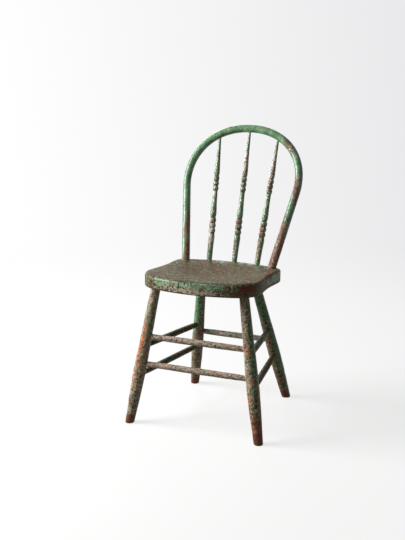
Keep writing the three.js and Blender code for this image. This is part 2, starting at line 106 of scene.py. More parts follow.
def looked_into(tree):
    """1 where a ray comes from the eye, straight or by way of gloss or glass, and else 0."""
    ray = add(tree, "ShaderNodeLightPath").outputs
    indirect = add(tree, "ShaderNodeMath", {"operation": "ADD"},
                   {0: ray["Is Glossy Ray"], 1: ray["Is Transmission Ray"]})
    return add(tree, "ShaderNodeMath", {"operation": "ADD", "use_clamp": True},
               {0: ray["Is Camera Ray"], 1: indirect.outputs[0]}).outputs[0]


floor_radius = 3.2             # in metres
fade_from, fade_to = 1.1, 2.9  # from the middle, where the floor clears and the wall takes over
floor_glow = 0.75              # how much of the white that the eye sees is the floor's own
bpy.ops.mesh.primitive_circle_add(vertices=96, radius=floor_radius, fill_type="NGON",
                                  location=(0, 0, -0.5 * MM))
floor = bpy.context.object
floor.name = "floor"
bpy.ops.object.transform_apply(location=True, rotation=True, scale=True)

# Floorboards in matt white paint, rolled on: an even white without gloss. The
# chair is lit by a greyer floor than the eye sees, so its underside stays dark.
material, tree = new_tree("white_painted_floor")
place = add(tree, "ShaderNodeTexCoord").outputs["Object"]
reach = add(tree, "ShaderNodeVectorMath", {"operation": "LENGTH"}, {0: place})
fade = add(tree, "ShaderNodeMapRange", {"interpolation_type": "SMOOTHSTEP"},
           {"Value": reach.outputs["Value"], "From Min": fade_from, "From Max": fade_to,
            "To Min": 0.0, "To Max": 1.0})
eye = looked_into(tree)
shown = add(tree, "ShaderNodeMix", {"data_type": "RGBA"},
            {0: eye, 6: linear("#85837D"), 7: linear("#FFFFFF")})
lit = add(tree, "ShaderNodeBsdfDiffuse", None, {"Color": shown.outputs[2]})
glow = add(tree, "ShaderNodeEmission", None, {"Color": linear("#FFFFFF"), "Strength": 1.0})
share = add(tree, "ShaderNodeMath", {"operation": "MULTIPLY"}, {0: eye, 1: floor_glow})
seen = add(tree, "ShaderNodeMixShader", None,
           {0: share.outputs[0], 1: lit.outputs[0], 2: glow.outputs[0]})
clear = add(tree, "ShaderNodeBsdfTransparent")
edge = add(tree, "ShaderNodeMixShader", None,
           {0: fade.outputs[0], 1: seen.outputs[0], 2: clear.outputs[0]})
add(tree, "ShaderNodeOutputMaterial", None, {"Surface": edge.outputs[0]})
floor.data.materials.append(material)

# Limewashed plaster, brushed on: matt, with a little painted shade greying it towards the right.
# The eye and the chair's gloss see the pale wall, but a dim warm room lights it.
wall_right = (0.918, 0.395, 0.1)      # the way the wall runs, from the left to the right
wall_from, wall_to = -0.21, 0.26      # how far along it the painted shade sets in, and is full
world = bpy.data.worlds.new("pale_room")
bpy.context.scene.world = world
world.use_nodes = True
tree = world.node_tree
tree.nodes.clear()
eye = looked_into(tree)
dim = add(tree, "ShaderNodeBackground", None, {"Color": linear("#FFF4DC"), "Strength": 0.06})
towards = add(tree, "ShaderNodeTexCoord").outputs["Generated"]
rightward = add(tree, "ShaderNodeVectorMath", {"operation": "DOT_PRODUCT"},
                {0: towards, 1: wall_right})
shade = add(tree, "ShaderNodeMapRange", None,
            {"Value": rightward.outputs["Value"], "From Min": wall_from, "From Max": wall_to})
wall_colour = add(tree, "ShaderNodeMix", {"data_type": "RGBA"},
                  {0: shade.outputs[0], 6: linear("#FFFFFF"), 7: linear("#E6E6E8")})
pale = add(tree, "ShaderNodeBackground", None,
           {"Color": wall_colour.outputs[2], "Strength": 1.0})
sky = add(tree, "ShaderNodeMixShader", None,
          {0: eye, 1: dim.outputs[0], 2: pale.outputs[0]})
add(tree, "ShaderNodeOutputWorld", None, {"Surface": sky.outputs[0]})

# Two soft lamps: the window on the left, and a weaker one further back on that side.
lit_place = Vector((0, 0, 0.4))
for name, place, size, watts in (
        ("window", Vector((-2.1, -0.95, 1.75)), 1.5, 114),
        ("far window", Vector((-1.7, 2.3, 1.6)), 1.4, 20)):
    bpy.ops.object.light_add(type="AREA", location=place)
    lamp = bpy.context.object
    lamp.name = name
    lamp.rotation_euler = (lit_place - place).to_track_quat("-Z", "Y").to_euler()
    lamp.data.size = size
    lamp.data.energy = watts
bpy.context.scene.view_settings.view_transform = "Standard"


# Seat: one thick plank of hard wood, sawn to a rounded outline that draws in at
# the sides, its edges eased and its top hollowed with a scraper. Sitting has
# worn the green off the top, and it has chipped off the front edge.

seat_tilt = math.radians(-2.4)  # its rear edge is lower
seat_thick = 41                 # in mm, as are all the sizes of the pieces
seat_frame = Matrix.Translation(at(0, -29, 455.5)) @ Matrix.Rotation(seat_tilt, 4, "X")
half_depth, front_half, rear_half = 178, 182, 170.5  # the sides spread towards the front
front_curve, front_corner = 364, 74                  # radii of the outline
rear_curve, rear_corner = 276, 34
side_waist = 5                                       # how far the sides draw in
cup_deep = 5                                         # scraped right across the top
saddle_deep, saddle_half_wide, saddle_half_deep = 8, 155, 140
lower_ease, upper_ease = 5, 8.5                      # how far the edges are rounded


def on_seat(x, y, z=0):
    """A place in metres from millimetres in the seat's own tilted frame, z from its rim."""
    return seat_frame @ (Vector((x, y, z)) * MM)


def seat_hollow(x, y):
    """How far the top lies under the rim plane, in mm."""
    cup = cup_deep * max(0, 1 - (x / front_half) ** 2)
    saddle = max(0, 1 - (x / saddle_half_wide) ** 2 - (y / saddle_half_deep) ** 2)
    return cup + saddle_deep * saddle ** 2


def rear_edge_at(x):
    """The y of the seat's rear edge at x."""
    return half_depth - (rear_curve - math.sqrt(rear_curve ** 2 - x ** 2))


def arc(centre, radius, start, end, steps):
    """Points on an arc, leaving out its last one."""
    return [(centre[0] + radius * math.cos(start + (end - start) * i / steps),
             centre[1] + radius * math.sin(start + (end - start) * i / steps))
            for i in range(steps)]


def corner(radius, end_radius, sign):
    """Centre of a corner arc that meets the straight side and the long end arc."""
    front, rear = Vector((front_half, -half_depth)), Vector((rear_half, half_depth))
    along = (rear - front).normalized()
    inward = Vector((-along.y, along.x))
    start = front + inward * radius
    end_centre = Vector((0, sign * (half_depth - end_radius)))
    offset = start - end_centre
    half = offset.dot(along)
    reach = math.sqrt(half * half - offset.length_squared + (end_radius - radius) ** 2)
    return start + along * (sign * reach - half), end_centre, inward


def seat_outline():
    """The right half's arcs, front to back, and their mirror image."""
    side_steps, shortest = 14, 1.5
    front, front_centre, inward = corner(front_corner, front_curve, -1)
    rear, rear_centre, _ = corner(rear_corner, rear_curve, 1)
    side = math.atan2(-inward.y, -inward.x)
    front_join = math.atan2(front.y - front_centre.y, front.x)
    rear_join = math.atan2(rear.y - rear_centre.y, rear.x)
    start, end = front - inward * front_corner, rear - inward * rear_corner
    drawn = [start.lerp(end, i / side_steps)
             + inward * (side_waist * math.sin(math.pi * i / side_steps) ** 2)
             for i in range(side_steps)]
    half = (arc(front_centre, front_curve, -math.pi / 2, front_join, 20)
            + arc(front, front_corner, front_join, side, 14)
            + [tuple(point) for point in drawn]
            + arc(rear, rear_corner, side, rear_join, 10)
            + arc(rear_centre, rear_curve, rear_join, math.pi / 2, 18)
            + [(0, half_depth)])
    points = []
    for point in half + [(-x, y) for x, y in reversed(half[1:-1])]:
        if not points or math.dist(point, points[-1]) > shortest:
            points.append(point)
    return points


def pick(piece):
    """Makes a piece the one that the operators act on."""
    bpy.ops.object.select_all(action="DESELECT")
    piece.select_set(True)
    bpy.context.view_layer.objects.active = piece


def ease_edges(piece, chosen, radius, steps, clamp=False):
    """Rounds the edges that run between the chosen vertices."""
    mesh = piece.data
    mesh.polygons.foreach_set("select", [False] * len(mesh.polygons))
    mesh.vertices.foreach_set("select", chosen)
    mesh.edges.foreach_set("select", [chosen[edge.vertices[0]] and chosen[edge.vertices[1]]
                                      for edge in mesh.edges])
    bpy.ops.object.mode_set(mode="EDIT")
    bpy.ops.mesh.select_mode(type="EDGE")
    bpy.ops.mesh.bevel(offset=radius * MM, segments=steps, affect="EDGES", clamp_overlap=clamp)
    bpy.ops.object.mode_set(mode="OBJECT")


def ramp(value, low, high):
    """Goes from 0 to 1 as the value goes from low to high."""
    return min(1, max(0, (value - low) / (high - low)))


outline = seat_outline()
bpy.ops.object.select_all(action="DESELECT")
bpy.ops.mesh.primitive_circle_add(vertices=len(outline), radius=half_depth * MM, fill_type="NGON")
seat = bpy.context.object
seat.name = "plank_seat"
for vertex, (x, y) in zip(seat.data.vertices, outline):
    vertex.co = Vector((x, y, -seat_thick)) * MM
bpy.ops.object.mode_set(mode="EDIT")
bpy.ops.mesh.select_all(action="SELECT")
bpy.ops.mesh.extrude_region_move(TRANSFORM_OT_translate={"value": (0, 0, seat_thick * MM)})
rings = [0.92, 0.895, 0.87, 0.84, 0.81, 0.74, 0.66, 0.57, 0.47, 0.36, 0.24, 0.11]
for ring, before in zip(rings, [1] + rings):  # shares of the outline, for the hollow to follow
    bpy.ops.mesh.extrude_region_move()
    bpy.ops.transform.resize(value=(ring / before, ring / before, 1), center_override=(0, 0, 0))
bpy.ops.mesh.poke()
bpy.ops.mesh.select_all(action="SELECT")
bpy.ops.mesh.normals_make_consistent(inside=False)
bpy.ops.object.mode_set(mode="OBJECT")
rim = {(round(x, 1), round(y, 1)) for x, y in outline}
for height, ease in ((-seat_thick, lower_ease), (0, upper_ease)):
    on_rim = [abs(v.co.z / MM - height) < 1
              and (round(v.co.x / MM, 1), round(v.co.y / MM, 1)) in rim
              for v in seat.data.vertices]
    ease_edges(seat, on_rim, ease, 6)

# This attribute is 1 where the front edge has broken and gone dark, in a band on the top, and
# 0.8 along the front's lower edge, which is painted shade where that edge rounds under.
# Then come the hollow, the dents and the worn faces.
lip_and_edge_shade = seat.data.attributes.new("lip_and_edge_shade", "FLOAT", "POINT")
for vertex in seat.data.vertices:
    x, y, z = vertex.co / MM
    from_edge = min(math.dist((x, y), point) for point in outline)
    along_front = ramp(-y, 95, 135) * ramp(x, -150, -90)
    band = ramp(from_edge, 4, 8) * ramp(24 - from_edge, 0, 11)
    lower_edge_shade = 0.8 * ramp(-z, 36.5, 39.5)
    lip_and_edge_shade.data[vertex.index].value = along_front * (band if z > -1 else lower_edge_shade)
    on_top = ramp(z, -12, 0)
    spot = Vector((x, y, z))
    uneven = noise.noise(spot / 16) * 0.9 + noise.noise(spot / 45) * 1.1
    on_lip = ramp(-y, 90, 140) * (1 if -14 < z < -0.5 else 0)
    dent = max(0, noise.noise(Vector((x * 1.2, y, z + 40)) / 9)) * 3.2 * on_lip
    vertex.co.z -= (seat_hollow(x, y) * on_top - uneven * 0.5 * on_top + dent * 0.6) * MM
    inward = Vector((x, y, 0)).normalized()
    vertex.co -= inward * (dent + abs(uneven) * 0.3) * MM * (1 if z < -0.5 else 0)
seat.data.transform(seat_frame)
pick(seat)
bpy.ops.object.shade_smooth_by_angle(angle=math.radians(50))
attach(seat, "root")
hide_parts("seat")


def mottle(tree, place, size, stretch=1.0, detail=4, roughness=0.6, shift=0.0):
    """Noise with blotches `size` mm wide, and `stretch` times as long along the piece's own Z."""
    scaled = add(tree, "ShaderNodeMapping", {"vector_type": "POINT"},
                 {"Vector": place, "Location": (shift, shift * 0.7, shift * 1.3),
                  "Scale": (1000 / size, 1000 / size, 1000 / size / stretch)})
    blotches = add(tree, "ShaderNodeTexNoise", None,
                   {"Vector": scaled.outputs[0], "Scale": 1.0,
                    "Detail": detail, "Roughness": roughness})
    return blotches.outputs[0]


def clouded(tree, pattern, low, high, colours):
    """A colour that drifts through the hex values as the pattern's noise goes from low to high."""
    evened = add(tree, "ShaderNodeMapRange", None,
                 {"Value": pattern, "From Min": low, "From Max": high})
    drift = add(tree, "ShaderNodeValToRGB", None, {0: evened.outputs[0]})
    stops = drift.color_ramp.elements
    stops[0].color, stops[1].color = linear(colours[0]), linear(colours[-1])
    for i, colour in enumerate(colours[1:-1], 1):
        stops.new(i / (len(colours) - 1)).color = linear(colour)
    return drift.outputs[0]


def covered(tree, under, tint, pattern, level, low, high, cover=1.0):
    """Lays a tint over a colour where the pattern's noise, with the level added to it, passes from
    low to high. Gives the new colour, and how far the tint covers it."""
    raised = add(tree, "ShaderNodeMath", {"operation": "ADD"}, {0: pattern, 1: level})
    amount = add(tree, "ShaderNodeMapRange", {"interpolation_type": "SMOOTHSTEP"},
                 {"Value": raised.outputs[0], "From Min": low, "From Max": high,
                  "To Min": 0.0, "To Max": cover}).outputs[0]
    colour = add(tree, "ShaderNodeMix", {"data_type": "RGBA"},
                 {0: amount, 6: under, 7: linear(tint) if isinstance(tint, str) else tint})
    return colour.outputs[2], amount


def worn_paint(name, own, shift=0.0, wear=0.5, stretch=1.7, patch=15, fine=7, fleck=5.5,
               gloss=0.38, shine=0.25, paint=("#567850", "#7C9C76", "#A3BA9C"),
               wood=("#4A3A2E", "#84715F", "#B8A894"), undercoat_and_highlight="#D8D2C4",
               green=0.0, rust=0.0, cream_and_highlight=0.0, pits_and_shade=0.0, spots=(), lip_and_edge_shade=False):
    """Old oil paint, brushed on over a pale undercoat, that has worn and flaked off hard wood: it
    is smooth and half glossy where it holds, and the bare wood is grey-brown, ribbed and dull.

    name is that of the piece it is on. own is the piece's frame, with Z along its grain, and
    wear is the share of bare wood. patch, fine and fleck are sizes in mm. green, rust, cream and
    pits are shares of small flecks. A spot is (kind, centre, half-sizes, strength), in mm in that
    frame. Real flecks are often under 4 mm, too fine to show, so they are drawn 4 to 6 mm wide."""
    material, tree = new_tree("worn_oil_paint_" + name)
    object_place = add(tree, "ShaderNodeTexCoord").outputs["Object"]
    place = add(tree, "ShaderNodeMapping", {"vector_type": "TEXTURE"},
                {"Vector": object_place, "Location": own.to_translation(),
                 "Rotation": own.to_euler()}).outputs[0]
    wear_reach, fleck_reach = 0.36, 0.2  # how far a share of 1 moves the level of its noise
    levels = {"wear": (wear - 0.5) * wear_reach, "green": green * fleck_reach,
              "rust": rust * fleck_reach, "cream_and_highlight": cream_and_highlight * fleck_reach,
              "pits_and_shade": pits_and_shade * fleck_reach, "stain": 0.0, "hole": 0.0}
    for kind, centre, size, strength in spots:
        inside = add(tree, "ShaderNodeMapping", {"vector_type": "TEXTURE"},
                     {"Vector": place, "Location": Vector(centre) * MM,
                      "Scale": Vector(size) * MM})
        reach = add(tree, "ShaderNodeVectorMath", {"operation": "LENGTH"}, {0: inside.outputs[0]})
        spot = add(tree, "ShaderNodeMapRange", {"interpolation_type": "SMOOTHSTEP"},
                   {"Value": reach.outputs["Value"], "From Min": 0.3, "From Max": 1.0,
                    "To Min": strength, "To Max": 0.0})
        levels[kind] = add(tree, "ShaderNodeMath", {"operation": "ADD"},
                           {0: spot.outputs[0], 1: levels[kind]}).outputs[0]
    # On the seat this lays dark pits on the broken front edge, and painted shade on its lower edge.
    if lip_and_edge_shade:
        edge = add(tree, "ShaderNodeAttribute", {"attribute_name": "lip_and_edge_shade"}).outputs["Fac"]
        levels["pits_and_shade"] = add(tree, "ShaderNodeMath", {"operation": "MULTIPLY_ADD"},
                             {0: edge, 1: fleck_reach, 2: levels["pits_and_shade"]}).outputs[0]

    # The bare wood: fibres 2.6 mm wide over stains of 8 mm, and darker in its pores. Its real
    # fibres are under 1 mm wide, too fine to show.
    fibres = mottle(tree, place, 2.6, 8, 3, 0.6, shift + 7.7)
    stains = mottle(tree, place, 8, 1.8, 5, 0.75, shift + 5.2)
    wood_colour = clouded(tree, stains, 0.31, 0.69, wood)
    wood_colour, _ = covered(tree, wood_colour, wood[0], fibres, 0.0, 0.5, 0.66, 0.45)

    # The paint: it has faded in soft clouds of 18 mm, and dulled where hands and dirt reach it.
    clouds = mottle(tree, place, 18, 1.8, 5, 0.65, shift + 11.3)
    paint_colour = clouded(tree, clouds, 0.34, 0.66, paint)

    # Where it has gone: broad patches with ragged edges, broken up by flakes.
    patches = mottle(tree, place, patch, stretch, 3, 0.5, shift)
    flakes = mottle(tree, place, fine, 1.2, 4, 0.7, shift + 3.1)
    ragged = add(tree, "ShaderNodeMix", {"data_type": "FLOAT"},
                 {0: 0.5, 2: patches, 3: flakes}).outputs[0]
    colour, _ = covered(tree, paint_colour, undercoat_and_highlight, ragged, levels["wear"], 0.46, 0.48, 0.4)
    colour, bare = covered(tree, colour, wood_colour, ragged, levels["wear"], 0.475, 0.51)

    # Flecks of what lies under and over it: paint left in the pores, undercoat, specks of an older
    # orange coat, and pits full of dirt. Where spots ask for it, the pale flecks also lay painted
    # highlights, and the dark pits painted shade. Then brown stains that have soaked in, and nail
    # holes.
    for kind, size, offset, low, high, tint, cover in (
            ("green", 1.5, 29.0, 0.57, 0.62, paint[1], 0.9),
            ("cream_and_highlight", 1.2, 17.2, 0.60, 0.65, undercoat_and_highlight, 0.85),
            ("rust", 1.3, 13.9, 0.61, 0.66, "#C8682B", 0.9),
            ("pits_and_shade", 1.1, 19.4, 0.57, 0.63, "#1B130C", 0.9)):
        flecks = mottle(tree, place, fleck * size, 1.3, 3, 0.55, shift + offset)
        colour, amount = covered(tree, colour, tint, flecks, levels[kind], low, high, cover)
    soaked = mottle(tree, place, 7, 1.5, 5, 0.75, shift + 23.0)
    colour, _ = covered(tree, colour, "#68301A", soaked, levels["stain"], 0.6, 0.92, 0.85)
    if levels["hole"] != 0.0:
        colour, _ = covered(tree, colour, "#0B0705", levels["hole"], 0.0, 0.2, 0.7, 0.95)

    # The paint stands over the ribbed wood by its own thickness, and pits go deeper.
    ribbed = add(tree, "ShaderNodeMath", {"operation": "MULTIPLY_ADD"},
                 {0: fibres, 1: 0.5, 2: -0.5})
    wood_down = add(tree, "ShaderNodeMath", {"operation": "MULTIPLY"},
                    {0: bare, 1: ribbed.outputs[0]})
    height = add(tree, "ShaderNodeMath", {"operation": "MULTIPLY_ADD"},
                 {0: amount, 1: -0.9, 2: wood_down.outputs[0]})
    relief = add(tree, "ShaderNodeBump", None,
                 {"Height": height.outputs[0], "Strength": 0.6, "Distance": 0.9 * MM})
    dulled = add(tree, "ShaderNodeMapRange", None, {"Value": bare, "To Min": gloss, "To Max": 0.68})
    surface = add(tree, "ShaderNodeBsdfPrincipled", None,
                  {"Base Color": colour, "Roughness": dulled.outputs[0],
                   "Normal": relief.outputs[0], "IOR": 1.5, "Specular IOR Level": shine})
    add(tree, "ShaderNodeOutputMaterial", None, {"Surface": surface.outputs[0]})
    return material


# The grain of the plank runs from side to side, so its own Z lies along X.
plank_grain = seat_frame @ Matrix.Rotation(math.pi / 2, 4, "Y")


def plank_spot(kind, x, y, z, wide, deep, high, strength):
    """A spot of worn_paint, given by its place and half-sizes in the seat's frame."""
    return (kind, (-z, y, x), (high, deep, wide), strength)


# Sitting has taken the paint off the top, down to dull brown wood with dirt in its pores, so
# only the edges and the faces are still green.
seat.data.materials.append(worn_paint(
    "seat", plank_grain, shift=1.0, wear=0.98, stretch=1.6, patch=20, fine=8, fleck=5.2,
    gloss=0.42, paint=("#47784D", "#75A078", "#A5C6A4"), wood=("#332517", "#5F4C35", "#806C50"),
    undercoat_and_highlight="#C2B39F", lip_and_edge_shade=True, green=0.04, rust=-0.12, cream_and_highlight=-0.35, pits_and_shade=0.1,
    spots=(
        plank_spot("wear", 0, 184, 0, 280, 95, 34, -0.22),      # green left along the back edge
        plank_spot("wear", 165, 130, 0, 60, 80, 26, -0.12),     # and at both rear corners
        plank_spot("wear", -160, 110, 0, 60, 90, 26, -0.12),
        plank_spot("wear", -110, -188, -14, 130, 55, 26, -0.28),  # and on the front face
        plank_spot("wear", 60, -188, -12, 150, 45, 20, -0.27),
        plank_spot("wear", 190, 60, -20, 40, 150, 30, -0.34),   # the right side is still green
        plank_spot("wear", -190, 0, -20, 40, 150, 30, -0.16),
        plank_spot("green", 0, 0, 0, 200, 200, 20, -0.03),
        plank_spot("pits_and_shade", 150, -130, -10, 50, 50, 14, 0.10),
        plank_spot("stain", 156, -134, -16, 44, 45, 18, 0.42),
        plank_spot("stain", 31, -177, -25, 8, 12, 9, 0.42),
        plank_spot("rust", 160, 20, -4, 26, 110, 12, 0.07),
        plank_spot("cream_and_highlight", -90, -176, -9, 90, 30, 3, 0.5),     # painted highlight: a pale line under the broken lip
        plank_spot("cream_and_highlight", -60, -190, -29, 170, 60, 20, 0.21),  # pale where the face has flaked
        plank_spot("cream_and_highlight", 60, -190, -31, 130, 45, 18, 0.22),
        plank_spot("pits_and_shade", -36, -176, -16, 3, 12, 18, 0.3))))


# Legs: each is turned from a square of hard wood, thin at the foot, fullest by the
# lower stretchers and thin again at the seat, where a round tenon is glued in.
# All four are painted, and worn to grey-brown wood, with rusty stains at the feet.

def own_frame(foot, top, across):
    """A frame at the foot with Z towards the top, and Y as near to `across` as can be."""
    z = (top - foot).normalized()
    x = across.cross(z).normalized()
    y = z.cross(x)
    return Matrix.Translation(foot) @ Matrix((x, y, z)).transposed().to_4x4()


def turned(name, stations, sides=32, uneven=0.0):
    """Draws a disc up ring by ring, as a lathe would, standing on the origin. Stations are
    (height, radius) in mm, and uneven is how far years of knocks have moved the surface, in mm."""
    knock_apart, most_swell = 24, 0.3  # mm between the knocks, and how little they swell it
    bpy.ops.object.select_all(action="DESELECT")
    bpy.ops.mesh.primitive_circle_add(vertices=sides, radius=stations[0][1] * MM,
                                      fill_type="NGON", location=(0, 0, stations[0][0] * MM))
    piece = bpy.context.object
    piece.name = name
    bpy.ops.object.transform_apply(location=True, rotation=True, scale=True)
    bpy.ops.object.mode_set(mode="EDIT")
    bpy.ops.mesh.select_all(action="SELECT")
    for (low, before), (high, radius) in zip(stations, stations[1:]):
        bpy.ops.mesh.extrude_region_move(
            TRANSFORM_OT_translate={"value": (0, 0, (high - low) * MM)})
        bpy.ops.transform.resize(value=(radius / before, radius / before, 1),
                                 center_override=(0, 0, high * MM))
    bpy.ops.mesh.select_all(action="SELECT")
    bpy.ops.mesh.normals_make_consistent(inside=False)
    bpy.ops.object.mode_set(mode="OBJECT")
    for vertex in piece.data.vertices:
        flat = Vector((vertex.co.x, vertex.co.y, 0))
        worn = noise.noise(vertex.co / MM / knock_apart + Vector((stations[-1][0], 0, 0)))
        vertex.co -= flat.normalized() * (max(-most_swell, worn) * uneven * MM)
    bpy.ops.object.shade_smooth_by_angle(angle=math.radians(40))
    return piece


def placed(blank, name, own):
    """A copy of a blank with a mesh of its own, set in its place."""
    pick(blank)
    bpy.ops.object.duplicate()
    piece = bpy.context.object
    piece.name = name
    piece.data.transform(own)
    return piece


def put_away(*blanks):
    """Takes the blanks out of the scene once all their copies are placed."""
    for blank in blanks:
        pick(blank)
        bpy.ops.object.delete()


def smooth_profile(knots, steps):
    """Points on a Catmull-Rom line through (height, radius) knots, as a spokeshave fairs them."""
    points = []
    ends = [knots[0]] + list(knots) + [knots[-1]]
    for a, b, c, d in zip(ends, ends[1:], ends[2:], ends[3:]):
        for i in range(steps):
            t = i / steps
            points.append(tuple(
                0.5 * (2 * b[k] + (c[k] - a[k]) * t
                       + (2 * a[k] - 5 * b[k] + 4 * c[k] - d[k]) * t ** 2
                       + (3 * b[k] - a[k] - 3 * c[k] + d[k]) * t ** 3) for k in (0, 1)))
    return points + [tuple(knots[-1])]


# Each leg's wear. In a spot X is to the right, Y to the back, and Z up the leg from its foot.
foot_stain = [("stain", (0, 0, 0), (70, 70, 42), 0.5), ("stain", (0, 0, 50), (50, 50, 70), 0.16)]
leg_looks = {
    ("front", "left"): dict(
        shift=2.0, fleck=5.0, wear=0.74, green=0.18, pits_and_shade=0.04, cream_and_highlight=0.15,
        wood=("#6E5541", "#BAA18A", "#E4D5C4"), paint=("#3C5F3B", "#62895F", "#92B590"),
        spots=[("rust", (-4, -17, 268), (11, 12, 66), 0.17),   # orange down the front
               ("rust", (-4, -17, 180), (12, 12, 90), 0.12),
               # Pale undercoat down the left edge, partly a painted highlight where the window
               # grazes it.
               ("cream_and_highlight", (-17, -6, 190), (8, 14, 170), 0.08),
               ("pits_and_shade", (0, 0, 70), (40, 40, 60), 0.06),
               ("cream_and_highlight", (0, 0, 70), (40, 40, 60), 0.03),
               ("wear", (0, 0, 65), (40, 40, 50), -0.08),
               ("wear", (17, 4, 300), (16, 40, 170), -0.14),   # greener towards the right
               ("wear", (-17, -10, 230), (16, 30, 230), 0.08)]),
    ("front", "right"): dict(
        shift=5.0, fleck=5.0, wear=0.74, green=0.16, pits_and_shade=0.06, cream_and_highlight=0.12,
        wood=("#6A523E", "#B69C82", "#E0D0BB"), paint=("#2F4C2F", "#507450", "#82A982"),
        spots=[("rust", (-14, -10, 122), (12, 18, 55), 0.17),
               ("rust", (2, -18, 266), (8, 12, 16), 0.24),
               ("rust", (0, -12, 60), (40, 40, 60), 0.08),
               ("pits_and_shade", (0, 0, 100), (40, 40, 60), 0.06),
               ("cream_and_highlight", (0, 0, 110), (40, 40, 50), 0.03),
               ("wear", (0, 0, 100), (40, 40, 55), -0.1),
               ("wear", (17, 0, 270), (18, 40, 190), -0.2),    # greener towards the right
               ("stain", (0, -10, 70), (40, 40, 80), 0.16),
               ("wear", (0, 0, 420), (40, 40, 40), -0.05),
               ("wear", (-6, -15, 290), (13, 16, 170), 0.12)]),
    ("rear", "left"): dict(
        shift=9.0, wear=0.72, green=0.1, pits_and_shade=0.08, cream_and_highlight=-0.05,
        wood=("#584534", "#957D67", "#BBA791"), paint=("#42744A", "#5F9263", "#86B189"),
        spots=[("wear", (-6, -13, 360), (26, 26, 200), -0.44),  # still green under the seat
               ("wear", (-12, -4, 30), (16, 60, 26), -0.25),
               ("pits_and_shade", (-15, -4, 350), (22, 60, 160), -0.08)]),
    ("rear", "right"): dict(
        shift=13.0, wear=0.7, green=0.1, pits_and_shade=0.15, rust=0.12, cream_and_highlight=-0.05,
        wood=("#544132", "#8D765F", "#B5A18A"), paint=("#2B592F", "#447B4A", "#68A06E"),
        spots=[("wear", (0, 0, 390), (60, 60, 140), -0.34),     # the same
               ("wear", (18, 0, 180), (16, 50, 300), -0.18),
               ("hole", (-7, -17, 131), (3.2, 9, 3.6), 1.0),    # two old nail holes
               ("hole", (-4, -17, 103), (3.2, 9, 3.6), 1.0),
               ("pits_and_shade", (0, 0, 60), (40, 40, 60), 0.06)])}

foot_radius, shin_radius, belly_radius, thigh_radius, neck_radius = 13.9, 16.4, 18.7, 16.3, 13.9
foot_up, shin_up, belly_up = 14, 74, 165    # heights up the leg
thigh_share = 0.48                          # of the way from the belly to the seat
waste, waste_radius = 8, 13.1               # sawn off when the chair is stood level
tenon_long, shoulder_radius, tenon_radius = 22, 12.6, 11.8
sole_ease = 2
leg_frames = {}
for row, foot, socket in (("front", (206.5, -193), (138, -109)), ("rear", (161, 193), (86.5, 112))):
    for word, side in (("left", -1), ("right", 1)):
        start = at(side * foot[0], foot[1], 0)
        end = on_seat(side * socket[0], socket[1], -seat_thick)
        leg_frames[row, word] = own_frame(start, end, Vector((0, 1, 0)))
    length = (end - start).length / MM
    thigh_up = belly_up + thigh_share * (length - belly_up)
    form = smooth_profile([(foot_up, foot_radius), (shin_up, shin_radius), (belly_up, belly_radius),
                           (thigh_up, thigh_radius), (length, neck_radius)], 8)
    tenon = [(length + 4, shoulder_radius), (length + tenon_long, tenon_radius)]
    blank = turned("leg_blank", [(-waste, waste_radius)] + form + tenon, 36, 0.8)
    for word in ("left", "right"):
        own = leg_frames[row, word]
        leg = placed(blank, "turned_leg_" + row + "_" + word, own)
        bpy.ops.object.mode_set(mode="EDIT")
        bpy.ops.mesh.select_all(action="SELECT")
        bpy.ops.mesh.bisect(plane_co=(0, 0, 0), plane_no=(0, 0, 1), use_fill=True, clear_inner=True)
        bpy.ops.object.mode_set(mode="OBJECT")
        sole = [vertex.co.z < 0.01 * MM for vertex in leg.data.vertices]
        ease_edges(leg, sole, sole_ease, 3, clamp=True)
        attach(leg, "root")
        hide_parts("leg_" + row + "_" + word)
        look = dict(leg_looks[row, word])
        look["spots"] = foot_stain + look["spots"]
        leg.data.materials.append(worn_paint(row + "_" + word + "_leg", own, **look))
    put_away(blank)


# Stretchers: thin turned rods, a little fuller in the middle, glued into holes
# bored in the legs: two in front, two on each side and one at the back. Feet have
# rubbed the front ones to a pinkish grey, and the side ones kept a mossy green,
# darkened further as painted shade, since their faces in view are turned from the window.

pinkish = dict(wear=0.82, wood=("#604A3D", "#A99384", "#D2C2B4"),
               paint=("#3A593B", "#5E865F", "#92B292"),
               rust=0.04, pits_and_shade=0.04, cream_and_highlight=0.12, green=0.04)
